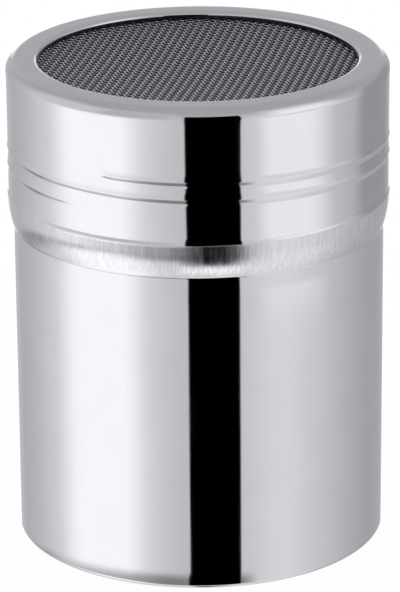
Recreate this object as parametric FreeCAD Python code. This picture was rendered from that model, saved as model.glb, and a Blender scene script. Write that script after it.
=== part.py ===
"""A table shaker of drawn stainless sheet with a screw lid and a wire-cloth sieve.

Millimetres, +Z up. The origin is the centre of the face that the cup stands on.
Every drawn piece is a folded sheet outline turned about Z: its corners are given on
one face of the sheet, and the other face follows from the sheet's thickness.
"""
import FreeCAD, Part
import math
import os

# The whole shaker
height = 90.7
lid_radius = 35.1

# Cup: base and straight wall
cup_sheet = 0.5
base_corner_bend = 0.8
base_ring_width = 6.1
base_recess_depth = 0.8
base_recess_run = 1.2
base_recess_bend = 1.0

# Cup: the shoulder that the lid closes down to, flush with the skirt
shoulder_height = 6.2
shoulder_setback = 0.05
shoulder_flare = 0.95
shoulder_slope_deg = 18.0
shoulder_lower_bend = 2.5
shoulder_upper_bend = 8.0
ledge_outer_bend = 0.5
ledge_inner_bend = 0.5

# Cup: the neck inside the lid
thread_space = 1.0
rim_clearance = 0.6

# Lid shell
lid_sheet = 0.5
lid_height = 24.9
lid_corner_bend = 2.2
flange_width = 6.1
lip_depth = 1.4
lip_bend = 1.0
lid_seat_gap = 0.1

# Wire cloth
cloth_thickness = 0.5
cloth_edge_clearance = 1.2
cloth_border = 4.4
cloth_gap = 2.4
cloth_bar = 0.9
cloth_turn_deg = 45.0

# Ring that clamps the cloth
ring_sheet = 0.5
ring_height = 5.0
ring_bend = 1.7
ring_clearance = 0.05

# Heights and radii that follow from the sizes above
lid_bottom_z = height - lid_height
ledge_z = lid_bottom_z - lid_seat_gap
shoulder_z = ledge_z - shoulder_height
shoulder_radius = lid_radius - shoulder_setback
body_radius = shoulder_radius - shoulder_flare
base_recess_radius = body_radius - base_ring_width
skirt_bore_radius = lid_radius - lid_sheet
neck_radius = skirt_bore_radius - thread_space
opening_radius = lid_radius - flange_width
cloth_top_z = height - lip_depth
ring_top_z = cloth_top_z - cloth_thickness
ring_bottom_z = ring_top_z - ring_height
ring_radius = skirt_bore_radius - ring_clearance
rim_z = ring_top_z - ring_sheet - rim_clearance


def point(radius, z):
    """A point of an outline in the XZ half plane."""
    return FreeCAD.Vector(radius, 0, z)


def left_of(direction):
    """The direction turned a quarter turn to the left, as seen with X right and Z up."""
    return point(-direction.z, direction.x)


def headings(corners):
    """Unit directions from each corner of an outline to the next."""
    ends = zip(corners, corners[1:])
    return [(point(*b[:2]) - point(*a[:2])).normalize() for a, b in ends]


def other_face(corners, sheet):
    """The corners and bends on the other face of the sheet, to the left of the first."""
    ways = headings(corners)
    ways = [ways[0]] + ways + [ways[-1]]
    moved = []
    for (radius, z, bend), before, after in zip(corners, ways, ways[1:]):
        sides = left_of(before) + left_of(after)
        place = point(radius, z) + sides * (sheet / (1 + before.dot(after)))
        turns_left = before.cross(after).y < 0
        moved_bend = max(bend - sheet, 0) if turns_left else bend + sheet
        moved.append((place.x, place.z, moved_bend if bend else 0))
    return moved


def bent_edges(corners):
    """Straight edges joined by the tangent arcs that the corners' bends ask for."""
    edges = []
    ways = headings(corners)
    start = point(*corners[0][:2])
    for (radius, z, bend), before, after in zip(corners[1:-1], ways, ways[1:]):
        corner = point(radius, z)
        half_turn = math.acos(max(-1, min(1, before.dot(after)))) / 2
        reach = bend * math.tan(half_turn)
        first = corner - before * reach
        last = corner + after * reach
        edges.append(Part.makeLine(start, first))
        if bend:
            inward = (after - before).normalize()
            middle = corner + inward * (bend / math.cos(half_turn) - bend)
            edges.append(Part.Arc(first, middle, last).toShape())
        start = last
    edges.append(Part.makeLine(start, point(*corners[-1][:2])))
    return edges


def sheet_end(first, last, way, rounded):
    """The end of a sheet from one face to the other, cut square or fully rounded."""
    a = point(*first[:2])
    b = point(*last[:2])
    if not rounded:
        return Part.makeLine(a, b)
    middle = (a + b) * 0.5 + way * ((b - a).Length / 2)
    return Part.Arc(a, middle, b).toShape()


def turned_sheet(corners, sheet, round_start=False, round_end=False):
    """A solid of revolution made from one folded sheet."""
    back = other_face(corners, sheet)
    ways = headings(corners)
    outline = bent_edges(corners)
    outline += [sheet_end(corners[-1], back[-1], ways[-1], round_end)]
    outline += bent_edges(back)
    outline += [sheet_end(corners[0], back[0], ways[0] * -1, round_start)]
    wire = Part.Wire(Part.__sortEdges__(outline))
    solid = Part.Face(wire).revolve(point(0, 0), point(0, 1), 360)
    return solid


def cup():
    """One drawn cup: recessed base, straight wall, flared shoulder, ledge and neck."""
    flare_rise = shoulder_flare / math.tan(math.radians(shoulder_slope_deg))
    outside = [
        (0, base_recess_depth, 0),
        (base_recess_radius - base_recess_run, base_recess_depth, base_recess_bend),
        (base_recess_radius, 0, base_recess_bend),
        (body_radius, 0, base_corner_bend),
        (body_radius, shoulder_z, shoulder_lower_bend),
        (shoulder_radius, shoulder_z + flare_rise, shoulder_upper_bend),
        (shoulder_radius, ledge_z, ledge_outer_bend),
        (neck_radius, ledge_z, ledge_inner_bend),
        (neck_radius, rim_z - cup_sheet / 2, 0),
    ]
    return turned_sheet(outside, cup_sheet, round_end=True)


def lid_shell():
    """Skirt, rounded corner, flat flange, and the opening's edge turned down as a lip."""
    outside = [
        (lid_radius, lid_bottom_z + lid_sheet / 2, 0),
        (lid_radius, height, lid_corner_bend),
        (opening_radius, height, lip_bend),
        (opening_radius, cloth_top_z, 0),
    ]
    return turned_sheet(outside, lid_sheet, round_start=True)


def sieve_retaining_ring():
    """An angle ring: its flat leg holds the cloth up against the lip."""
    outside = [
        (ring_radius, ring_bottom_z + ring_sheet / 2, 0),
        (ring_radius, ring_top_z, ring_bend),
        (opening_radius, ring_top_z, 0),
    ]
    return turned_sheet(outside, ring_sheet, round_start=True)


def sieve_mesh():
    """The cloth as one holed disc, with a closed border where the ring clamps it."""
    cloth_radius = skirt_bore_radius - cloth_edge_clearance
    holed_radius = cloth_radius - cloth_border
    pitch = cloth_gap + cloth_bar
    steps = math.ceil(holed_radius / pitch)
    half = cloth_gap / 2
    rim = Part.makeCircle(cloth_radius, FreeCAD.Vector(0, 0, ring_top_z))
    wires = [Part.Wire(rim)]
    for column in range(-steps, steps + 1):
        for row in range(-steps, steps + 1):
            x = column * pitch
            y = row * pitch
            if math.hypot(abs(x) + half, abs(y) + half) > holed_radius:
                continue
            turns = [(-half, -half), (half, -half), (half, half), (-half, half)]
            corners = [FreeCAD.Vector(x + a, y + b, ring_top_z) for a, b in turns]
            wires.append(Part.makePolygon(corners + corners[:1]))
    disc = Part.makeFace(wires, "Part::FaceMakerBullseye")
    cloth = disc.extrude(FreeCAD.Vector(0, 0, cloth_thickness))
    cloth.rotate(point(0, 0), point(0, 1), cloth_turn_deg)
    return cloth


pieces = {
    "cup": cup,
    "lid_shell": lid_shell,
    "sieve_mesh": sieve_mesh,
    "sieve_retaining_ring": sieve_retaining_ring,
}

os.makedirs("parts", exist_ok=True)
for name, make in pieces.items():
    solid = make()
    box = solid.optimalBoundingBox()
    print(name, "valid", solid.isValid(), "solids", len(solid.Solids), "faces", len(solid.Faces),
          "volume", round(solid.Volume, 1), "z", round(box.ZMin, 3), round(box.ZMax, 3),
          "radius", round(box.XMax, 3))
    solid.exportStep(f"parts/{name}.step")
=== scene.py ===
"""Looks of a stainless steel table shaker: drawn cup, threaded lid and woven wire cloth.

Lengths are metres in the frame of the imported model, with +Z up and the viewer on the -Y side.
Azimuths are degrees about Z, counted from -Y towards +X, so the photograph looks along azimuth 0.
"""

import math

import bpy
import numpy as np
from bpy.props import FloatProperty, FloatVectorProperty, IntProperty, PointerProperty
from bpy.types import Operator, Panel, PropertyGroup
from mathutils import Matrix, Vector


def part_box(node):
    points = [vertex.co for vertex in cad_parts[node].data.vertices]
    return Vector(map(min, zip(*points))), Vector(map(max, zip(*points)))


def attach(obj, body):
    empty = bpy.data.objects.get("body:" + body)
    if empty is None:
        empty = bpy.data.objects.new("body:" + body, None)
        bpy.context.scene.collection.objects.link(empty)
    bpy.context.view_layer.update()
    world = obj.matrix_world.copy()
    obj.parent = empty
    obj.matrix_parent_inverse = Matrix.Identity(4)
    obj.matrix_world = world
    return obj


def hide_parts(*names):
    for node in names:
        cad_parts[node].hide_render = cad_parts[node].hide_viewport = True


bl_info = {
    "name": "Table shaker",
    "version": (1, 0, 0),
    "blender": (4, 5, 0),
    "location": "View3D > Sidebar > Shaker",
    "description": "Builds a stainless steel shaker with a screw lid and a wire-cloth sieve",
    "category": "Add Mesh",
}

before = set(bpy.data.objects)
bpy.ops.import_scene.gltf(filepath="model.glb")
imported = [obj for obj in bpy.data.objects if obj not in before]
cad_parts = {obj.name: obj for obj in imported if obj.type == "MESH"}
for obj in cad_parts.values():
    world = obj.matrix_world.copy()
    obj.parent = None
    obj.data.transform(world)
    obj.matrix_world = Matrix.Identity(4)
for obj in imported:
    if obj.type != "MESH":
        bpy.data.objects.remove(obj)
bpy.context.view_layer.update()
MM = 0.001
SKIRT_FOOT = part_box("lid_shell")[0].z
LID_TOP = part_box("lid_shell")[1].z
LID_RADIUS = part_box("lid_shell")[1].x
CLOTH_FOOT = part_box("sieve_mesh")[0].z
CLOTH_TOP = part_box("sieve_mesh")[1].z
CLOTH_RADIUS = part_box("sieve_mesh")[1].x
RING_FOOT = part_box("sieve_retaining_ring")[0].z
RING_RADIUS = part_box("sieve_retaining_ring")[1].x
CUP_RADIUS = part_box("cup")[1].x
CUP_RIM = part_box("cup")[1].z

# How finely the pieces are divided
SIDES_ROUND = 288
ARC_STEP = math.radians(6)
LONGEST_ARC_PIECE = 0.3 * MM
THREAD_RUN = 0.13 * MM
NECK_RUN = 0.45 * MM
PLAIN_RUN = 1.2 * MM
WALL_RUN = 3.0 * MM
STEPS_PER_CROSSING = 4.0
SHARP_ANGLE = math.radians(35)

# Below these a bend or a radius counts as nothing
NO_TURN = 1e-6
ON_AXIS = 1e-9

# The thread's ends and the swell of its outer line, as shares of a turn
RIDGE_RUN_OUT = 0.05
LINE_RUN_IN = 0.015
LINE_RUN_OUT = 0.12
SWELL_PLACE = 0.93
SWELL_REACH = 0.07

# Powers that hollow the outer line's slopes
POWER_ABOVE = 1.5
POWER_BELOW = 2.0

# Normals, as shares, that part the faces inside a shell from those outside
INWARD = 0.02
DOWNWARD = -0.2
UPWARD = 0.25

# Where a noise's values mostly lie, and the height of the wires' painted highlight wave where the painted
# highlight is brightest
NOISE_SPAN = (0.3, 0.7)
BRIGHTEST_PAINTED_HIGHLIGHT = 0.95

# Numbers of a Mix node's sockets, when it mixes numbers and when it mixes colours
FIRST_NUMBER, SECOND_NUMBER = 2, 3
FIRST_COLOUR, SECOND_COLOUR, COLOUR_RESULT = 6, 7, 2


def length(name, about, default):
    """A property that holds a length in metres."""
    return FloatProperty(name=name, description=about, default=default, unit="LENGTH", precision=5)


def angle(name, about, degrees):
    """A property that holds an angle, with its default given in degrees."""
    return FloatProperty(name=name, description=about, default=math.radians(degrees), unit="ROTATION")


def share(name, about, default):
    """A property that holds a share from 0 to 1."""
    return FloatProperty(name=name, description=about, default=default, min=0, max=1, subtype="FACTOR")


def tint(name, about, default):
    """A property that holds a linear colour."""
    return FloatVectorProperty(name=name, description=about, default=default, size=3, min=0, max=1,
                               subtype="COLOR")


class CupSizes(PropertyGroup):
    sheet: length("Sheet", "Thickness of the cup's sheet", 0.5 * MM)
    flare: length("Flare", "How far the shoulder stands out from the wall", 0.95 * MM)
    shoulder: length("Shoulder", "Height of the shoulder below the ledge", 6.2 * MM)
    top_slope: angle("Top slope", "Slope of the shoulder under the ledge, from the vertical", 4)
    slope: angle("Slope", "Slope of the shoulder's foot from the vertical", 16)
    shoulder_bend: length("Shoulder bend", "Long bend between the shoulder's two slopes", 20 * MM)
    foot_bend: length("Shoulder foot bend", "Hollow bend between shoulder and wall", 1.5 * MM)
    corner: length("Foot corner", "Bend between the wall and the face it stands on", 0.8 * MM)
    ledge_edge: length("Ledge edge", "Bend of the ledge's outer edge", 0.05 * MM)
    ledge_bend: length("Ledge bend", "Hollow bend between ledge and neck", 0.5 * MM)
    score_foot: length("Scoring above foot", "Plain strip below the scoring", 0.4 * MM)
    score_top: length("Scoring below ledge", "Plain strip above the scoring", 0.1 * MM)
    seat_gap: length("Seat gap", "Space between the ledge and the closed lid", 0.006 * MM)
    neck: length("Neck radius", "Outer radius of the neck inside the lid", 33.6 * MM)
    ring_width: length("Foot ring", "Width of the flat ring that the cup stands on", 6.1 * MM)
    recess: length("Recess", "Depth of the recess under the cup", 0.8 * MM)
    recess_run: length("Recess slope", "Width of the recess's sloping edge", 1.2 * MM)
    recess_bend: length("Recess bend", "Bends above and below that edge", 1.0 * MM)


class LidSizes(PropertyGroup):
    sheet: length("Sheet", "Thickness of the lid's sheet", 0.5 * MM)
    corner: length("Corner", "Outer bend between skirt and flange", 2.2 * MM)
    flange: length("Flange", "Width of the flange around the opening", 6.1 * MM)
    lip: length("Lip", "Depth of the edge turned down around the opening", 1.4 * MM)
    lip_bend: length("Lip bend", "Outer bend between flange and lip", 1.0 * MM)
    bead_inset: length("Bead inset", "How far the skirt's foot stays inside the radius", 0.06 * MM)
    bead_lift: length("Bead lift", "How far the bead is raised off the skirt's foot", 0.01 * MM)
    bead_height: length("Bead height", "Height of the bead at the skirt's foot", 0.6 * MM)
    bead_bend: length("Bead bend", "Bend between the bead and the skirt", 0.8 * MM)
    ring_bend: length("Ring bend", "Outer bend of the ring that clamps the cloth", 1.7 * MM)


class ThreadSizes(PropertyGroup):
    pitch: length("Pitch", "Rise of the thread in one turn", 3.2 * MM)
    start: length("Start", "Height of the upper end of the lid's thread", 77.7 * MM)
    start_turn: angle("Start azimuth", "Where the upper end lies, from the front", -32.5)
    turns: FloatProperty(name="Turns", description="Turns of the lid's thread", default=2.05)
    relief: length("Outer relief", "Height of the line that shows outside the skirt", 0.08 * MM)
    swell: share("Swell", "Extra height of the line on the left, where a turn ends, as a share", 0.8)
    above: length("Reach above", "Width of the line's slope above its crest", 1.2 * MM)
    below: length("Reach below", "Width of the line's slope below its crest", 1.1 * MM)
    depth: length("Depth", "Height of the rolled ridges inside the lid and on the neck", 0.65 * MM)
    ridge_foot: length("Ridge foot", "Width of a rolled ridge at its foot", 1.9 * MM)
    ridge_crest: length("Ridge crest", "Width of the flat on a rolled ridge", 0.4 * MM)
    neck_turns: FloatProperty(name="Neck turns", description="Turns of the neck's thread", default=1.5)
    neck_clear: length("Neck clearance", "Plain height of the neck above the ledge", 1.0 * MM)


class ClothSizes(PropertyGroup):
    wire: length("Wire", "Diameter of the wires", 0.25 * MM)
    warp_pitch: length("Warp pitch", "Distance between warp wires", 0.915 * MM)
    weft_pitch: length("Weft pitch", "Distance between weft wires", 1.29 * MM)
    turn: angle("Turn", "Azimuth that the warp wires are spaced along, from +X", 25)
    dish: length("Dish", "How far the middle sinks below the rim", 0.8 * MM)
    trim: length("Trim", "How far inside the cloth's rim the wires end", 0.2 * MM)
    sides: IntProperty(name="Sides", description="Sides of a wire's section", default=8, min=4, max=12)
    # Painted light on the wires: each lag shifts the painted highlight from a wire's crest along its wave
    warp_highlight_lag: angle("Warp lag", "From a warp wire's crest to where it is rubbed brightest", -30)
    weft_highlight_lag: angle("Weft lag", "From a weft wire's crest to where it is rubbed brightest", 120)
    # Painted shade in the hollows of the weave, as a share of the wire's brightness
    hollow: share("Hollows", "Share of a wire's brightness left in the hollows of the weave", 0.3)
    # Where on the wave the painted highlight starts to rise out of the painted shade
    edge: FloatProperty(name="Rubbed edge", description="Where on the wave, -1 to 1, rubbing starts",
                        default=-0.9)
    # The wefts are painted darker than the warps, as painted shade
    weft_painted_shade: share("Weft tone", "Brightness of the weft wires as a share of the warp wires'", 0.8)


class SteelFinish(PropertyGroup):
    polish: tint("Polished steel", "Colour of the mirror-polished sheet", (0.80, 0.80, 0.81))
    # Dull steel is darker than bare steel: part the unpolished finish, part painted shade inside the cup
    # and the ring, seen through the cloth
    dull_and_shade: tint("Dull steel", "Colour of the unpolished inner faces", (0.17, 0.17, 0.175))
    # The lip's inner wall and the lid's inside are painted near black: painted shade in the gap under the
    # lip and inside the lid
    shaded: tint("Shaded steel", "Colour of the lip and the lid's inside", (0.05, 0.05, 0.055))
    wire: tint("Wire", "Colour of the wire cloth", (0.95, 0.955, 0.995))
    gloss: share("Polish roughness", "Roughness of the mirror polish", 0.045)
    score: share("Scored roughness", "Roughness of the scored shoulder", 0.18)
    dull_gloss: share("Dull roughness", "Roughness of the unpolished inner faces", 0.2)
    # Roughness where the wires' painted highlight is brightest; the painted shade of the hollows gets
    # four times this
    wire_gloss: share("Wire roughness", "Roughness of the wires where they are rubbed", 0.06)


class StudioSettings(PropertyGroup):
    distance: length("Distance", "Camera distance in front of the axis", 0.6514)
    aside: length("Aside", "How far the camera stands to the right of the axis", 0.1 * MM)
    height: length("Height", "Camera height", 0.2776)
    tilt: angle("Tilt", "How far the camera looks down", 19.72)
    roll: angle("Roll", "Camera roll", -0.453)
    lens: FloatProperty(name="Lens", description="Focal length in millimetres", default=226.87)
    sensor: FloatProperty(name="Sensor", description="Sensor width in millimetres", default=36)
    floor_reach: length("Floor reach", "Distance from the axis to the floor's edges", 4.0)
    floor: share("Floor shadow", "Share of the floor's own shading that the camera sees", 0.05)


def arc_points(start, corner, after, bend):
    """Points of the tangent arc that rounds one corner of an outline."""
    a, c, b = (Vector(p) for p in (start, corner, after))
    into, out = (c - a).normalized(), (b - c).normalized()
    turn = into.angle(out)
    if bend <= 0 or turn < NO_TURN:
        return [tuple(c)]
    reach = bend * math.tan(turn / 2)
    first = c - into * reach
    side = out - into * into.dot(out)
    centre = first + side.normalized() * bend
    spoke = first - centre
    count = max(2, math.ceil(turn / ARC_STEP), math.ceil(turn * bend / LONGEST_ARC_PIECE))
    sense = 1 if into.x * out.y - into.y * out.x > 0 else -1
    points = []
    for k in range(count + 1):
        swing = Matrix.Rotation(sense * turn * k / count, 2)
        points.append(tuple(centre + swing @ spoke))
    return points


def folded_outline(corners, run_at):
    """A folded sheet's line: arcs at its corners, and straight runs in pieces of run_at(height)."""
    line = [corners[0][:2]]
    for before, (r, z, bend), after in zip(corners, corners[1:-1], corners[2:]):
        line += arc_points(before[:2], (r, z), after[:2], bend)
    line.append(corners[-1][:2])
    fine = [line[0]]
    for a, b in zip(line, line[1:]):
        pieces = max(1, math.ceil(math.dist(a, b) / run_at((a[1] + b[1]) / 2)))
        for k in range(1, pieces + 1):
            fine.append((a[0] + (b[0] - a[0]) * k / pieces, a[1] + (b[1] - a[1]) * k / pieces))
    return fine


def other_face(corners, sheet):
    """The corners on the sheet's other face, to the left of the first, and their bends."""
    flat = [Vector(c[:2]) for c in corners]
    ways = [(b - a).normalized() for a, b in zip(flat, flat[1:])]
    ways = [ways[0]] + ways + [ways[-1]]
    moved = []
    for place, (_, _, bend), u, v in zip(flat, corners, ways, ways[1:]):
        left = Vector((-u.y, u.x)) + Vector((-v.y, v.x))
        spot = place + left * (sheet / (1 + u.dot(v)))
        turns_left = u.x * v.y - u.y * v.x > 0
        new_bend = max(bend - sheet, 0) if turns_left else bend + sheet
        moved.append((spot.x, spot.y, new_bend if bend else 0))
    return moved


def cut_end(a, b, way, parts=14, squareness=0.25):
    """Points between a and b of a sheet's cut end: square with its edges taken off."""
    middle = (Vector(a) + Vector(b)) / 2
    arm = Vector(a) - middle
    out = Vector(way).normalized() * arm.length
    points = []
    for k in range(1, parts):
        c, s = math.cos(math.pi * k / parts), math.sin(math.pi * k / parts)
        share_across = math.copysign(abs(c) ** squareness, c)
        points.append(tuple(middle + arm * share_across + out * s ** squareness))
    return points


def turned_sheet(name, corners, sheet, run_at, relief=None, round_start=False, round_end=False):
    """A piece turned about Z from one folded sheet, its radii raised by relief(face, azimuths, z)."""
    back = other_face(corners, sheet)
    outer, inner = folded_outline(corners, run_at), folded_outline(back, run_at)
    loop = [(p, "outer") for p in outer]
    if round_end:
        way = Vector(corners[-1][:2]) - Vector(corners[-2][:2])
        loop += [(p, "end") for p in cut_end(outer[-1], inner[-1], way)]
    loop += [(p, "inner") for p in reversed(inner)]
    if round_start:
        way = Vector(corners[0][:2]) - Vector(corners[1][:2])
        loop += [(p, "end") for p in cut_end(inner[0], outer[0], way)]
    turns = np.linspace(0, 2 * math.pi, SIDES_ROUND, endpoint=False)
    vertices, rows = [], []
    for (r, z), face in loop:
        if r < ON_AXIS:
            rows.append([len(vertices)] * SIDES_ROUND)
            vertices.append((0, 0, z))
            continue
        radii = np.full(SIDES_ROUND, r)
        if relief and face != "end":
            radii = radii + relief(face, turns, z)
        rows.append(list(range(len(vertices), len(vertices) + SIDES_ROUND)))
        vertices += zip(radii * np.cos(turns), radii * np.sin(turns), np.full(SIDES_ROUND, z))
    faces = []
    starts_on_axis = loop[0][0][0] < ON_AXIS
    pairs = list(zip(rows, rows[1:])) + ([] if starts_on_axis else [(rows[-1], rows[0])])
    for low, high in pairs:
        for k in range(SIDES_ROUND):
            n = (k + 1) % SIDES_ROUND
            ring = [low[k], low[n], high[n], high[k]]
            faces.append(list(dict.fromkeys(ring)))
    mesh = bpy.data.meshes.new(name)
    mesh.from_pydata(vertices, [], faces)
    mesh.validate()
    mesh.shade_smooth()
    mesh.set_sharp_from_angle(angle=SHARP_ANGLE)
    piece = bpy.data.objects.new(name, mesh)
    bpy.context.scene.collection.objects.link(piece)
    return piece


def along_helix(turns, start_turn):
    """Share of a turn from the thread's upper end on to each direction from the axis."""
    from_front = turns + math.pi / 2
    return (from_front - start_turn) % (2 * math.pi) / (2 * math.pi)


def eased(x):
    """A share from 0 to 1 with its start and end smoothed."""
    return x * x * (3 - 2 * x)


def ridge_height(turns, z, sizes, first, count):
    """Share of full height, 0 to 1, of a rolled helical ridge with a rounded section."""
    slope = (sizes.ridge_foot - sizes.ridge_crest) / 2
    total = np.zeros_like(turns)
    for k in range(-1, math.ceil(count) + 1):
        along = along_helix(turns, sizes.start_turn) + k
        middle = first - sizes.pitch * along
        off = np.abs(z - middle)
        ridge = eased(np.clip(1 - (off - sizes.ridge_crest / 2) / slope, 0, 1))
        ends = np.clip(along / RIDGE_RUN_OUT, 0, 1) * np.clip((count - along) / RIDGE_RUN_OUT, 0, 1)
        total = np.maximum(total, ridge * ends)
    return total


def outer_line(turns, z, sizes):
    """Height of the helical line that the thread leaves outside the skirt."""
    total = np.zeros_like(turns)
    for k in range(math.ceil(sizes.turns)):
        along = along_helix(turns, sizes.start_turn) + k
        off = z - (sizes.start - sizes.pitch * along)
        upper = np.clip(1 - off / sizes.above, 0, 1) ** POWER_ABOVE
        lower = np.clip(1 + off / sizes.below, 0, 1) ** POWER_BELOW
        line = np.where(off > 0, upper, lower)
        near = np.clip(1 - np.abs(along % 1 - SWELL_PLACE) / SWELL_REACH, 0, 1)
        line = line * (1 + sizes.swell * eased(near))
        left = sizes.turns - along
        ends = np.clip(along / LINE_RUN_IN, 0, 1) * np.clip(left / LINE_RUN_OUT, 0, 1)
        total = np.maximum(total, line * ends)
    return total * sizes.relief


def new_material(name):
    """An empty node material, with its output node."""
    material = bpy.data.materials.new(name)
    material.use_nodes = True
    material.node_tree.nodes.clear()
    output = material.node_tree.nodes.new("ShaderNodeOutputMaterial")
    return material, material.node_tree, output


def add(tree, kind, values=None, **settings):
    """A node with its settings, and its inputs given as numbers or as sockets to link."""
    node = tree.nodes.new(kind)
    for key, value in settings.items():
        setattr(node, key, value)
    for key, value in (values or {}).items():
        if isinstance(value, bpy.types.NodeSocket):
            tree.links.new(value, node.inputs[key])
        else:
            node.inputs[key].default_value = value
    return node


def maths(tree, operation, *values):
    """The result of one Math node."""
    return add(tree, "ShaderNodeMath", dict(enumerate(values)), operation=operation).outputs[0]


def ramp(tree, value, low, high, to_low=0.0, to_high=1.0, kind="SMOOTHSTEP"):
    """The result of one Map Range node."""
    values = {"Value": value, "From Min": low, "From Max": high, "To Min": to_low, "To Max": to_high}
    return add(tree, "ShaderNodeMapRange", values, interpolation_type=kind).outputs[0]


def mixed(tree, factor, first, second):
    """A number that goes from the first to the second as the factor goes from 0 to 1."""
    values = {"Factor": factor, FIRST_NUMBER: first, SECOND_NUMBER: second}
    return add(tree, "ShaderNodeMix", values, data_type="FLOAT").outputs[0]


def scaled_place(tree, scale):
    """Object coordinates stretched by a Mapping node."""
    place = add(tree, "ShaderNodeTexCoord").outputs["Object"]
    return add(tree, "ShaderNodeMapping", {"Vector": place, "Scale": scale}).outputs[0]


def noise(tree, stretch, scale, detail=3.0):
    """The grey result of one Noise Texture node in stretched object coordinates."""
    values = {"Vector": scaled_place(tree, stretch), "Scale": scale, "Detail": detail}
    return add(tree, "ShaderNodeTexNoise", values).outputs[0]


def blend(tree, factor, colour, darkest, brightest):
    """A colour blended between two shares of its brightness."""
    mix = add(tree, "ShaderNodeMix", {"Factor": factor}, data_type="RGBA")
    for number, level in ((FIRST_COLOUR, darkest), (SECOND_COLOUR, brightest)):
        mix.inputs[number].default_value = (*(level * channel for channel in colour), 1)
    return mix.outputs[COLOUR_RESULT]


def bump(tree, height, strength, distance):
    """The normal that one Bump node gives."""
    return add(tree, "ShaderNodeBump", {"Height": height, "Strength": strength,
                                        "Distance": distance}).outputs[0]


def metal(tree, output, **inputs):
    """A metal surface joined to the output, its inputs named as the shader's in lower case."""
    values = {name.replace("_", " ").title(): value for name, value in inputs.items()}
    shader = add(tree, "ShaderNodeBsdfPrincipled", dict(values, Metallic=1.0))
    tree.links.new(shader.outputs[0], output.inputs[0])


def mirror_steel(name, colour, roughness):
    """Polished steel: cloudy tone, an uneven polish and a slight swell."""
    material, tree, output = new_material(name)
    cloud = noise(tree, (1, 1, 1), scale=130.0, detail=5.0)
    fine = noise(tree, (1, 1, 0.06), scale=900.0)
    swell = noise(tree, (1, 1, 0.5), scale=70.0, detail=1.0)
    metal(tree, output, base_color=blend(tree, cloud, colour, darkest=0.93, brightest=1.0),
          roughness=ramp(tree, fine, *NOISE_SPAN, roughness * 0.8, roughness * 1.2),
          normal=bump(tree, swell, strength=0.06, distance=0.1 * MM))
    return material


def scored_steel(name, colour, roughness):
    """Polished steel with fine upright scoring, which blurs what it mirrors sideways."""
    material, tree, output = new_material(name)
    streaks = ramp(tree, noise(tree, (1, 1, 0.01), scale=3000.0, detail=2.0), *NOISE_SPAN)
    fine = noise(tree, (1, 1, 0.06), scale=900.0)
    lines = noise(tree, (1, 1, 0.01), scale=2200.0)
    round_axis = add(tree, "ShaderNodeTangent", direction_type="RADIAL", axis="Z").outputs[0]
    metal(tree, output, base_color=blend(tree, streaks, colour, darkest=0.95, brightest=1.1),
          roughness=ramp(tree, fine, *NOISE_SPAN, roughness * 0.8, roughness * 1.2),
          anisotropic=0.75, tangent=round_axis,
          normal=bump(tree, lines, strength=0.22, distance=0.05 * MM))
    return material


def dull_steel_with_painted_shade(name, colour, roughness):
    """Unpolished steel as it leaves the drawing press: mottled tone and faint lines along the draw, in a
    colour darkened below bare steel as painted shade.
    """
    material, tree, output = new_material(name)
    mottle = noise(tree, (1, 1, 0.3), scale=400.0, detail=6.0)
    grain = noise(tree, (1, 1, 0.05), scale=2400.0)
    metal(tree, output, base_color=blend(tree, mottle, colour, darkest=0.8, brightest=1.0),
          roughness=ramp(tree, mottle, *NOISE_SPAN, roughness * 0.85, roughness * 1.15),
          normal=bump(tree, grain, strength=0.2, distance=0.05 * MM))
    return material


def wire_steel_painted_light(name, colour, roughness, hollow, edge):
    """Drawn wire with a painted highlight along its crests and painted shade in the hollows of the weave.
    """
    material, tree, output = new_material(name)
    painted_highlight = add(tree, "ShaderNodeAttribute", attribute_name="painted_highlight").outputs["Fac"]
    speck = noise(tree, (1, 1, 1), scale=2500.0, detail=2.0)
    # Painted light: brightness rises from the painted shade of the hollows to the painted highlight, with
    # random specks
    bright = maths(tree, "MULTIPLY", ramp(tree, painted_highlight, edge, BRIGHTEST_PAINTED_HIGHLIGHT, hollow, 1.0),
                   ramp(tree, speck, *NOISE_SPAN, 0.9, 1.0))
    shades = [maths(tree, "MULTIPLY", bright, channel) for channel in colour]
    tone = add(tree, "ShaderNodeCombineXYZ", {"X": shades[0], "Y": shades[1], "Z": shades[2]})
    metal(tree, output, base_color=tone.outputs[0],
          roughness=ramp(tree, painted_highlight, edge, BRIGHTEST_PAINTED_HIGHLIGHT, 4 * roughness, roughness))
    return material


def finish_faces(piece, materials, choose):
    """Gives each face the material whose number choose(middle, normal, outward share) returns."""
    for material in materials:
        piece.data.materials.append(material)
    for face in piece.data.polygons:
        across = Vector((face.center.x, face.center.y, 0)).normalized()
        face.material_index = choose(face.center, face.normal, face.normal.dot(across))


def settle(piece, body, node):
    """Puts a finished piece on its body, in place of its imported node."""
    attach(piece, body)
    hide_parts(node)


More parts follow.
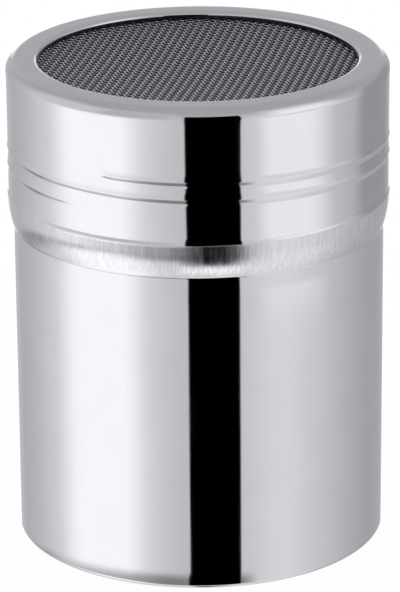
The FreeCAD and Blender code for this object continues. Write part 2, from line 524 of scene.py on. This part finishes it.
class SHAKER_OT_cup(Operator):
    """Builds the drawn cup with its scored shoulder and threaded neck"""
    bl_idname = "shaker.cup"
    bl_label = "Cup"

    def execute(self, context):
        cup, thread = context.scene.shaker_cup, context.scene.shaker_thread
        finish = context.scene.shaker_finish
        wall = CUP_RADIUS - cup.flare
        ledge = SKIRT_FOOT - cup.seat_gap
        shoulder = ledge - cup.shoulder
        gentle, steep = math.tan(cup.top_slope), math.tan(cup.slope)
        rise = (cup.flare - cup.shoulder * gentle) / (steep - gentle)
        recess_edge = wall - cup.ring_width
        outline = [
            (0, cup.recess, 0),
            (recess_edge - cup.recess_run, cup.recess, cup.recess_bend),
            (recess_edge, 0, cup.recess_bend),
            (wall, 0, cup.corner),
            (wall, shoulder, cup.foot_bend),
            (wall + rise * steep, shoulder + rise, cup.shoulder_bend),
            (CUP_RADIUS, ledge, cup.ledge_edge),
            (cup.neck, ledge, cup.ledge_bend),
            (cup.neck, CUP_RIM - cup.sheet / 2, 0),
        ]
        first = thread.start - thread.pitch / 2

        def relief(face, turns, z):
            if z < ledge + thread.neck_clear:
                return np.zeros_like(turns)
            return ridge_height(turns, z, thread, first, thread.neck_turns) * thread.depth

        def run_at(z):
            return NECK_RUN if z > shoulder else WALL_RUN

        def choose(middle, normal, outward):
            underneath = normal.z < DOWNWARD and middle.z < 2 * cup.recess
            if outward < INWARD and not underneath:
                return 2
            return int(shoulder + cup.score_foot < middle.z < ledge - cup.score_top)

        piece = turned_sheet("cup_wall", outline, cup.sheet, run_at, relief, round_end=True)
        # The cup's inner faces take the dull steel, darkened as painted shade
        finish_faces(piece, (mirror_steel("cup_polish", finish.polish, finish.gloss),
                             scored_steel("cup_scored", finish.polish, finish.score),
                             dull_steel_with_painted_shade("cup_inside_dull_and_shade", finish.dull_and_shade, finish.dull_gloss)), choose)
        settle(piece, "cup", "cup")
        return {"FINISHED"}


class SHAKER_OT_lid(Operator):
    """Builds the lid shell with its rolled thread"""
    bl_idname = "shaker.lid"
    bl_label = "Lid"

    def execute(self, context):
        lid, thread = context.scene.shaker_lid, context.scene.shaker_thread
        finish = context.scene.shaker_finish
        radius = LID_RADIUS - thread.relief * (1 + thread.swell)
        opening = LID_RADIUS - lid.flange
        low = thread.start - (thread.turns + 1) * thread.pitch
        high = thread.start + 1.2 * thread.above
        outline = [
            (LID_RADIUS - lid.bead_inset, SKIRT_FOOT + lid.sheet / 2 + lid.bead_lift, 0),
            (radius, SKIRT_FOOT + lid.bead_height, lid.bead_bend),
            (radius, low, 0),
            (radius, high, 0),
            (radius, LID_TOP, lid.corner),
            (opening, LID_TOP, lid.lip_bend),
            (opening, LID_TOP - lid.lip, 0),
        ]

        def relief(face, turns, z):
            if z > LID_TOP - 2 * lid.corner:
                return np.zeros_like(turns)
            if face == "outer":
                return outer_line(turns, z, thread)
            return -ridge_height(turns, z, thread, thread.start, thread.turns) * thread.depth

        def run_at(z):
            return THREAD_RUN if low < z < high else PLAIN_RUN

        # Faces inside the lid and the lip's inner wall take the near-black painted shade
        def choose(middle, normal, outward):
            return int(outward < INWARD and normal.z < UPWARD)

        piece = turned_sheet("lid_shell_threaded", outline, lid.sheet, run_at, relief, round_start=True)
        finish_faces(piece, (mirror_steel("lid_polish", finish.polish, finish.gloss),
                             dull_steel_with_painted_shade("lid_inside_painted_shade", finish.shaded, finish.dull_gloss)), choose)
        settle(piece, "lid", "lid_shell")
        return {"FINISHED"}


class SHAKER_OT_ring(Operator):
    """Builds the angle ring that clamps the cloth"""
    bl_idname = "shaker.ring"
    bl_label = "Retaining ring"

    def execute(self, context):
        lid, finish = context.scene.shaker_lid, context.scene.shaker_finish
        opening = LID_RADIUS - lid.flange
        outline = [
            (RING_RADIUS, RING_FOOT + lid.sheet / 2, 0),
            (RING_RADIUS, CLOTH_FOOT, lid.ring_bend),
            (opening, CLOTH_FOOT, 0),
        ]
        piece = turned_sheet("retaining_ring", outline, lid.sheet, lambda z: PLAIN_RUN, round_start=True)
        # The ring's dull steel is darkened as painted shade
        piece.data.materials.append(dull_steel_with_painted_shade("ring_steel", finish.dull_and_shade, finish.dull_gloss))
        settle(piece, "sieve_ring", "sieve_retaining_ring")
        return {"FINISHED"}


def wire_tree():
    """A node tree that weaves one family of parallel, crimped wires cut to a dished disc."""
    tree = bpy.data.node_groups.new("wire_family", "GeometryNodeTree")
    face = tree.interface
    for name, kind in (("Radius", "Float"), ("Pitch", "Float"), ("Crossing Pitch", "Float"),
                       ("Wire Diameter", "Float"), ("Turn", "Float"), ("Over First", "Float"),
                       ("Middle Height", "Float"), ("Dish", "Float"), ("Dished Radius", "Float"),
                       ("Lag", "Float"), ("Sides", "Int"), ("Finish", "Material")):
        face.new_socket(name=name, in_out="INPUT", socket_type="NodeSocket" + kind)
    face.new_socket(name="Geometry", in_out="OUTPUT", socket_type="NodeSocketGeometry")
    inputs = tree.nodes.new("NodeGroupInput").outputs
    output = tree.nodes.new("NodeGroupOutput")

    def node(kind, values=None, **settings):
        return add(tree, kind, values, **settings)

    def calc(operation, *values):
        return maths(tree, operation, *values)

    radius, pitch, crossing = inputs["Radius"], inputs["Pitch"], inputs["Crossing Pitch"]
    side = calc("CEIL", calc("DIVIDE", radius, pitch))
    wires = calc("ADD", calc("MULTIPLY", side, 2.0), 1.0)
    steps = calc("MULTIPLY", calc("CEIL", calc("DIVIDE", radius, crossing)), STEPS_PER_CROSSING)
    reach = calc("MULTIPLY", steps, calc("DIVIDE", crossing, STEPS_PER_CROSSING))
    start = node("ShaderNodeCombineXYZ", {"X": calc("MULTIPLY", reach, -1.0)}).outputs[0]
    end = node("ShaderNodeCombineXYZ", {"X": reach}).outputs[0]
    line = node("GeometryNodeCurvePrimitiveLine", {"Start": start, "End": end})
    count = calc("ADD", calc("MULTIPLY", steps, 2.0), 1.0)
    points = node("GeometryNodeResampleCurve", {"Curve": line.outputs[0], "Count": count})
    copies = node("GeometryNodeDuplicateElements", {"Geometry": points.outputs[0], "Amount": wires},
                  domain="SPLINE")
    number = calc("SUBTRACT", copies.outputs["Duplicate Index"], side)
    place = node("ShaderNodeSeparateXYZ", {"Vector": node("GeometryNodeInputPosition").outputs[0]})
    along = place.outputs["X"]
    across = calc("MULTIPLY", number, pitch)
    phase = calc("MULTIPLY", calc("ADD", calc("DIVIDE", along, crossing), number), math.pi)
    # The painted highlight: a wave along each wire that peaks the lag away from its crest, stored for the
    # wire material as painted light and shade
    wave = calc("COSINE", calc("SUBTRACT", phase, inputs["Lag"]))
    painted_highlight = calc("MULTIPLY", wave, inputs["Over First"])
    lift = calc("MULTIPLY", calc("COSINE", phase), inputs["Over First"])
    lift = calc("MULTIPLY", lift, calc("MULTIPLY", inputs["Wire Diameter"], 0.5))
    out = calc("SQRT", calc("ADD", calc("MULTIPLY", along, along), calc("MULTIPLY", across, across)))
    nearness = calc("MINIMUM", calc("DIVIDE", out, inputs["Dished Radius"]), 1.0)
    sink = calc("MULTIPLY", inputs["Dish"], calc("SUBTRACT", calc("MULTIPLY", nearness, nearness), 1.0))
    height = calc("ADD", calc("ADD", lift, sink), inputs["Middle Height"])
    new_place = node("ShaderNodeCombineXYZ", {"X": along, "Y": across, "Z": height}).outputs[0]
    shaded = node("GeometryNodeStoreNamedAttribute", {"Geometry": copies.outputs[0], "Name": "painted_highlight",
                                                      "Value": painted_highlight}, data_type="FLOAT", domain="POINT")
    woven = node("GeometryNodeSetPosition", {"Geometry": shaded.outputs[0], "Position": new_place})
    there = node("ShaderNodeSeparateXYZ", {"Vector": node("GeometryNodeInputPosition").outputs[0]})
    span = node("ShaderNodeCombineXYZ", {"X": there.outputs["X"], "Y": there.outputs["Y"]}).outputs[0]
    far = node("ShaderNodeVectorMath", {0: span}, operation="LENGTH").outputs["Value"]
    outside = node("FunctionNodeCompare", {0: far, 1: radius}, operation="GREATER_THAN").outputs[0]
    disc = node("GeometryNodeDeleteGeometry", {"Geometry": woven.outputs[0], "Selection": outside})
    wire_radius = calc("MULTIPLY", inputs["Wire Diameter"], 0.5)
    section = node("GeometryNodeCurvePrimitiveCircle", {"Resolution": inputs["Sides"],
                                                        "Radius": wire_radius})
    swept = node("GeometryNodeCurveToMesh", {"Curve": disc.outputs[0], "Fill Caps": True,
                                             "Profile Curve": section.outputs[0]})
    turn = node("ShaderNodeCombineXYZ", {"Z": inputs["Turn"]}).outputs[0]
    turned = node("GeometryNodeTransform", {"Geometry": swept.outputs[0], "Rotation": turn})
    real = node("GeometryNodeRealizeInstances", {"Geometry": turned.outputs[0]})
    done = node("GeometryNodeSetMaterial", {"Geometry": real.outputs[0], "Material": inputs["Finish"]})
    tree.links.new(done.outputs[0], output.inputs[0])
    return tree


def grown(name, tree, values):
    """A plain mesh piece grown by a geometry node tree from named input values."""
    holder = bpy.data.objects.new(name + "_grower", bpy.data.meshes.new(name + "_seed"))
    bpy.context.scene.collection.objects.link(holder)
    modifier = holder.modifiers.new("Grow", "NODES")
    modifier.node_group = tree
    for item in tree.interface.items_tree:
        if item.name in values:
            modifier[item.identifier] = values[item.name]
    graph = bpy.context.evaluated_depsgraph_get()
    mesh = bpy.data.meshes.new_from_object(holder.evaluated_get(graph))
    holder.modifiers.remove(modifier)
    bpy.data.objects.remove(holder)
    if not mesh.polygons:
        raise RuntimeError(name + " came out empty")
    mesh.name = name
    mesh.shade_smooth()
    piece = bpy.data.objects.new(name, mesh)
    bpy.context.scene.collection.objects.link(piece)
    return piece


class SHAKER_OT_cloth(Operator):
    """Weaves the wire cloth from warp and weft wires"""
    bl_idname = "shaker.cloth"
    bl_label = "Wire cloth"

    def execute(self, context):
        cloth, finish = context.scene.shaker_cloth, context.scene.shaker_finish
        tree = wire_tree()
        shared = {
            "Radius": CLOTH_RADIUS - cloth.trim, "Wire Diameter": cloth.wire, "Sides": cloth.sides,
            "Middle Height": (CLOTH_FOOT + CLOTH_TOP) / 2, "Dish": cloth.dish,
            "Dished Radius": LID_RADIUS - context.scene.shaker_lid.flange,
        }
        warp = {"Pitch": cloth.warp_pitch, "Crossing Pitch": cloth.weft_pitch,
                "Turn": cloth.turn - math.pi / 2, "Over First": 1.0, "Lag": cloth.warp_highlight_lag}
        weft = {"Pitch": cloth.weft_pitch, "Crossing Pitch": cloth.warp_pitch,
                "Turn": cloth.turn, "Over First": -1.0, "Lag": cloth.weft_highlight_lag}
        # Each family's wire colour: the wefts get a darker copy as painted shade, and each material
        # paints highlight and shade along the wave
        for name, family, tone in (("cloth_warp", warp, 1.0), ("cloth_weft", weft, cloth.weft_painted_shade)):
            colour = [tone * channel for channel in finish.wire]
            steel = wire_steel_painted_light(name + "_wire", colour, finish.wire_gloss, cloth.hollow, cloth.edge)
            piece = grown(name, tree, {**shared, **family, "Finish": steel})
            settle(piece, "lid", "sieve_mesh")
        return {"FINISHED"}


# Strength of the surroundings at eye level, for azimuths all round
EYE_LEVEL = (
    (-180, 0.50), (-160, 0.58), (-145, 0.53), (-115, 0.69), (-98, 0.88), (-84, 1.20), (-48, 1.24),
    (-34, 0.90), (-12, 0.68), (26, 0.73), (50, 0.87), (68, 0.80), (86, 0.69), (100, 0.60), (125, 0.48),
    (147, 0.46), (163, 0.50), (180, 0.50),
)

# Patches laid over them: strength, then where each fades in and out, in azimuth and in elevation
ALL_ROUND = (-400, -399, 399, 400)
PATCHES = (
    (0.46, ALL_ROUND, (-12, 60, 399, 400)),
    (0.72, (-125, -100, -20, -10), (-16, 2, 22, 55)),
    (0.57, (-66, -54, -22, -10), (-12, 14, 40, 70)),
    (1.06, (34, 54, 72, 98), (-8, 1, 14, 60)),
    (0.37, (104, 120, 148, 162), (-19.5, -17.8, 6, 22)),
    (1.2, (-400, -399, -170, -163), (-40, -24, 4, 15)),
    (1.2, (163, 170, 399, 400), (-40, -24, 4, 15)),
    (1.06, (32, 46, 66, 92), (-20.5, -18.5, -14, -10)),
    (0.86, (25, 40, 85, 115), (-13, -9, -7, -2)),
    (0.92, (25, 50, 68, 100), (-46, -40, -31, -26)),
    (0.56, (-120, -95, -20, -12), (-31.5, -27, -26.3, -24.2)),
    (0.34, (-175, -135, -120, -95), (-33.5, -28.5, -25.5, -24.2)),
    (1.15, (-20, -4, 22, 34), (-52, -46, -41, -37)),
    (0.26, (-62, -16, 24, 38), (-36, -31, -26.3, -24.2)),
    (0.85, ALL_ROUND, (-400, -399, -60, -52)),
)

# The dark card in front, which the wall mirrors as a strip, and its part for the foot's bend
CARD = (0.0, (-7.4, -6.4, 24.5, 25.5), (-43, -35, 28, 31))
CARD_FOOT = (0.02, (-7.0, -6.0, 24.5, 25.5), (-400, -399, -58, -53))

# The card's left edge lies further left as seen in the lid's top, in the shoulder and in the foot's bend
LEAN = 1.2
LEAN_TOP = (-20.0, -17.2)
LEAN_FOOT = (-25.5, -24.3)
LEAN_ENDS = (5.0, 6.0)
STUDIO_TINT = (0.955, 0.963, 1.0, 1)


def patch(tree, azimuth, elevation, under, strength, sides, heights):
    """One soft-edged patch of the surroundings laid over what lies under it."""
    left, right = ramp(tree, azimuth, *sides[:2]), ramp(tree, azimuth, *sides[2:], 1.0, 0.0)
    low, high = ramp(tree, elevation, *heights[:2]), ramp(tree, elevation, *heights[2:], 1.0, 0.0)
    across, upright = maths(tree, "MULTIPLY", left, right), maths(tree, "MULTIPLY", low, high)
    return mixed(tree, maths(tree, "MULTIPLY", across, upright), under, strength)


def eye_level(tree, azimuth):
    """The strength at eye level, read off a colour ramp that runs round the horizon."""
    peak = max(strength for _, strength in EYE_LEVEL)
    share_round = ramp(tree, azimuth, -180.0, 180.0, kind="LINEAR")
    node = add(tree, "ShaderNodeValToRGB", {"Fac": share_round})
    node.color_ramp.interpolation = "CARDINAL"
    stops = node.color_ramp.elements
    while len(stops) < len(EYE_LEVEL):
        stops.new(0.5)
    for stop, (degrees, strength) in zip(stops, EYE_LEVEL):
        stop.position = (degrees + 180) / 360
        stop.color = (*(3 * [strength / peak]), 1)
    return maths(tree, "MULTIPLY", node.outputs["Color"], peak)


def studio_world(scene):
    """White for the camera and even light for the floor, and a patterned studio for polished steel."""
    world = bpy.data.worlds.new("studio")
    world.use_nodes = True
    tree = world.node_tree
    tree.nodes.clear()
    output = tree.nodes.new("ShaderNodeOutputWorld")
    direction = add(tree, "ShaderNodeTexCoord").outputs["Generated"]
    x, y, z = add(tree, "ShaderNodeSeparateXYZ", {"Vector": direction}).outputs
    azimuth = maths(tree, "DEGREES", maths(tree, "ARCTAN2", x, maths(tree, "MULTIPLY", y, -1.0)))
    elevation = maths(tree, "DEGREES", maths(tree, "ARCSINE", z))
    value = eye_level(tree, azimuth)
    for strength, sides, heights in PATCHES:
        value = patch(tree, azimuth, elevation, value, strength, sides, heights)
    lean = maths(tree, "ADD", ramp(tree, elevation, *LEAN_TOP, 0.0, LEAN),
                 ramp(tree, elevation, *LEAN_FOOT, LEAN, 0.0))
    leaning = maths(tree, "ADD", azimuth, lean)
    card_azimuth = mixed(tree, ramp(tree, azimuth, *LEAN_ENDS), leaning, azimuth)
    for card in (CARD, CARD_FOOT):
        value = patch(tree, card_azimuth, elevation, value, *card)
    seen = add(tree, "ShaderNodeBackground", {"Color": STUDIO_TINT, "Strength": value})
    plain = add(tree, "ShaderNodeBackground", {"Color": (1, 1, 1, 1), "Strength": 1.0})
    glossy = add(tree, "ShaderNodeLightPath").outputs["Is Glossy Ray"]
    mix = add(tree, "ShaderNodeMixShader", {0: glossy, 1: plain.outputs[0], 2: seen.outputs[0]})
    tree.links.new(mix.outputs[0], output.inputs[0])
    scene.world = world


def studio_floor(studio):
    """A wide pale floor that keeps a faint shadow and doesn't show in polished steel."""
    mesh = bpy.data.meshes.new("floor")
    reach = studio.floor_reach
    corners = [(-reach, -reach, 0), (reach, -reach, 0), (reach, reach, 0), (-reach, reach, 0)]
    mesh.from_pydata(corners, [], [(0, 1, 2, 3)])
    material, tree, output = new_material("floor_paper")
    tone = ramp(tree, noise(tree, (1, 1, 1), scale=40.0), *NOISE_SPAN, 0.97, 0.99)
    colour = add(tree, "ShaderNodeCombineXYZ", {"X": tone, "Y": tone, "Z": tone})
    paper = add(tree, "ShaderNodeBsdfDiffuse", {"Color": colour.outputs[0]})
    white = add(tree, "ShaderNodeEmission", {"Color": (1, 1, 1, 1), "Strength": 1.0})
    path = add(tree, "ShaderNodeLightPath")
    share_white = maths(tree, "MULTIPLY", path.outputs["Is Camera Ray"], 1.0 - studio.floor)
    lit = add(tree, "ShaderNodeMixShader", {0: share_white, 1: paper.outputs[0], 2: white.outputs[0]})
    clear = add(tree, "ShaderNodeBsdfTransparent")
    shown = add(tree, "ShaderNodeMixShader", {0: path.outputs["Is Glossy Ray"], 1: lit.outputs[0],
                                              2: clear.outputs[0]})
    tree.links.new(shown.outputs[0], output.inputs[0])
    mesh.materials.append(material)
    floor = bpy.data.objects.new("floor", mesh)
    bpy.context.scene.collection.objects.link(floor)


def studio_camera(scene, studio):
    """The camera in front, looking down as in the photograph."""
    data = bpy.data.cameras.new("camera")
    data.lens = studio.lens
    data.sensor_width = studio.sensor
    data.clip_start = 0.01
    camera = bpy.data.objects.new("camera", data)
    scene.collection.objects.link(camera)
    place = Matrix.Translation((studio.aside, -studio.distance, studio.height))
    look = Matrix.Rotation(math.pi / 2 - studio.tilt, 4, "X")
    camera.matrix_world = place @ look @ Matrix.Rotation(studio.roll, 4, "Z")
    scene.camera = camera


class SHAKER_OT_studio(Operator):
    """Sets up the floor, the surroundings and the camera"""
    bl_idname = "shaker.studio"
    bl_label = "Studio"

    def execute(self, context):
        studio = context.scene.shaker_studio
        studio_world(context.scene)
        studio_floor(studio)
        studio_camera(context.scene, studio)
        context.scene.view_settings.view_transform = "Standard"
        return {"FINISHED"}


class SHAKER_PT_panel(Panel):
    """Lists the shaker's pieces and the studio"""
    bl_label = "Table shaker"
    bl_idname = "SHAKER_PT_panel"
    bl_space_type = "VIEW_3D"
    bl_region_type = "UI"
    bl_category = "Shaker"

    def draw(self, context):
        for operator in OPERATORS:
            self.layout.operator(operator.bl_idname)
        for name, group in GROUPS.items():
            box = self.layout.box()
            settings = getattr(context.scene, name)
            for field in group.__annotations__:
                box.prop(settings, field)


OPERATORS = (SHAKER_OT_cup, SHAKER_OT_lid, SHAKER_OT_ring, SHAKER_OT_cloth, SHAKER_OT_studio)
GROUPS = {
    "shaker_cup": CupSizes,
    "shaker_lid": LidSizes,
    "shaker_thread": ThreadSizes,
    "shaker_cloth": ClothSizes,
    "shaker_finish": SteelFinish,
    "shaker_studio": StudioSettings,
}


def register():
    for kind in (*GROUPS.values(), *OPERATORS, SHAKER_PT_panel):
        bpy.utils.register_class(kind)
    for name, group in GROUPS.items():
        setattr(bpy.types.Scene, name, PointerProperty(type=group))


def unregister():
    for name in GROUPS:
        delattr(bpy.types.Scene, name)
    for kind in (SHAKER_PT_panel, *reversed(OPERATORS), *reversed(list(GROUPS.values()))):
        bpy.utils.unregister_class(kind)


def main():
    register()
    bpy.ops.shaker.studio()
    bpy.ops.shaker.cup()
    bpy.ops.shaker.ring()
    bpy.ops.shaker.cloth()
    bpy.ops.shaker.lid()


if __name__ == "__main__":
    main()
